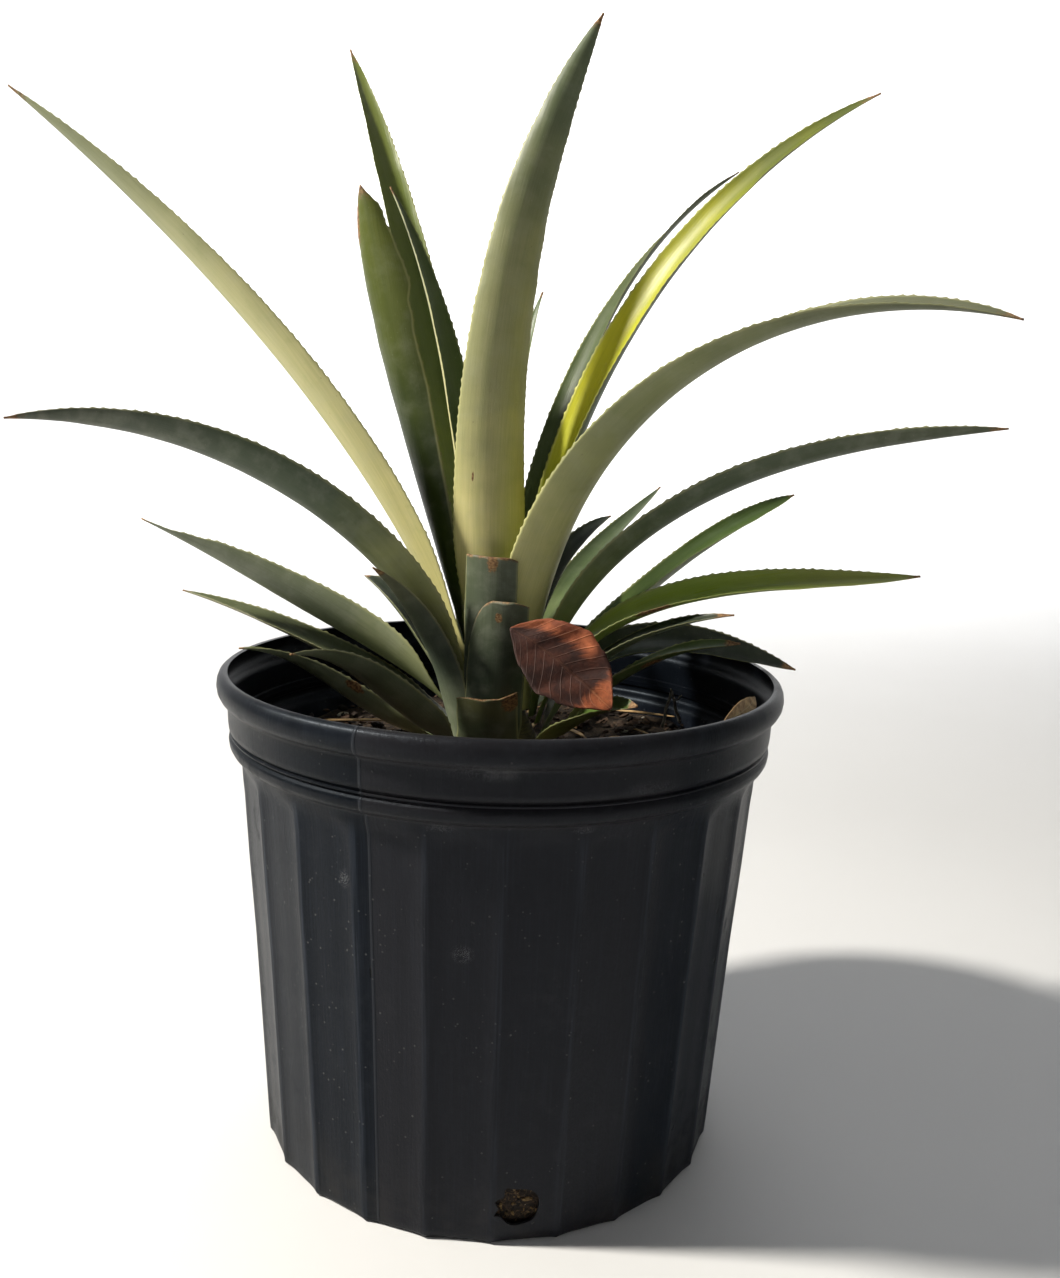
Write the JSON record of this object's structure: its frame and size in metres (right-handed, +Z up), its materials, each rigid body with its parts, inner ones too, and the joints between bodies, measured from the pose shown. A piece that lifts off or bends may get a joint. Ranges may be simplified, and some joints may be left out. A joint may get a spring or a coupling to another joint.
{
  "type": "potted pineapple plant",
  "caption": "Young pineapple plant with arching channelled leaves and cut leaf stubs, growing in a ribbed round black nursery pot of dark soil.",
  "frame": {"origin": "centre of the pot's flat underside, on the pot's axis", "axes": "+Z up along the pot's axis; -Y is the front, the side shown in the picture; +X to the right of it"},
  "size_m": [0.4537, 0.2897, 0.5615],
  "materials": {
    "pot_plastic": "satin black moulded plastic",
    "potting_soil": "crumbly dark potting mix",
    "stem_bark": "rough bark",
    "twig_bark": "dry bark",
    "leaf_grey": "waxy grey-green leaf",
    "leaf_green": "waxy green leaf",
    "leaf_bright": "glossy yellow-green leaf",
    "leaf_pale": "pale waxy leaf",
    "leaf_dark": "dark green leaf",
    "leaf_rust": "dead brown leaf",
    "leaf_tan": "dry tan leaf"
  },
  "bodies": {
    "root": {"pot": "pot_plastic", "soil": "potting_soil", "stem": "stem_bark", "twig": "twig_bark", "heart_leaf_small": "leaf_green", "back_leaf_pale": "leaf_pale", "back_leaf_tall": "leaf_green", "right_leaf_upright": "leaf_bright", "left_leaf_blunt": "leaf_bright", "heart_leaf_tall": "leaf_grey", "right_leaf_serrated": "leaf_grey", "left_leaf_long": "leaf_pale", "right_leaf_young": "leaf_dark", "right_leaf_slender": "leaf_grey", "left_leaf_shaded": "leaf_grey", "right_leaf_arching": "leaf_pale", "left_leaf_arching": "leaf_grey", "right_leaf_long": "leaf_grey", "right_leaf_middle": "leaf_green", "back_leaf_short": "leaf_grey", "left_leaf_bent": "leaf_dark", "left_leaf_torn": "leaf_grey", "right_leaf_glossy": "leaf_bright", "back_leaf_low": "leaf_dark", "right_leaf_drooping": "leaf_dark", "left_leaf_olive": "leaf_pale", "right_leaf_dark": "leaf_dark", "front_leaf_short": "leaf_dark", "front_leaf_low": "leaf_green", "front_leaf_dark": "leaf_dark", "right_leaf_low": "leaf_green", "left_leaf_low": "leaf_grey", "upper_stub": "leaf_grey", "lower_stub": "leaf_grey", "base_stub": "leaf_pale", "dead_tree_leaf": "leaf_rust", "dry_rim_leaf": "leaf_tan", "straw_left": "leaf_tan", "straw_right": "leaf_tan", "dry_scrap": "leaf_tan"}
  },
  "joints": []
}
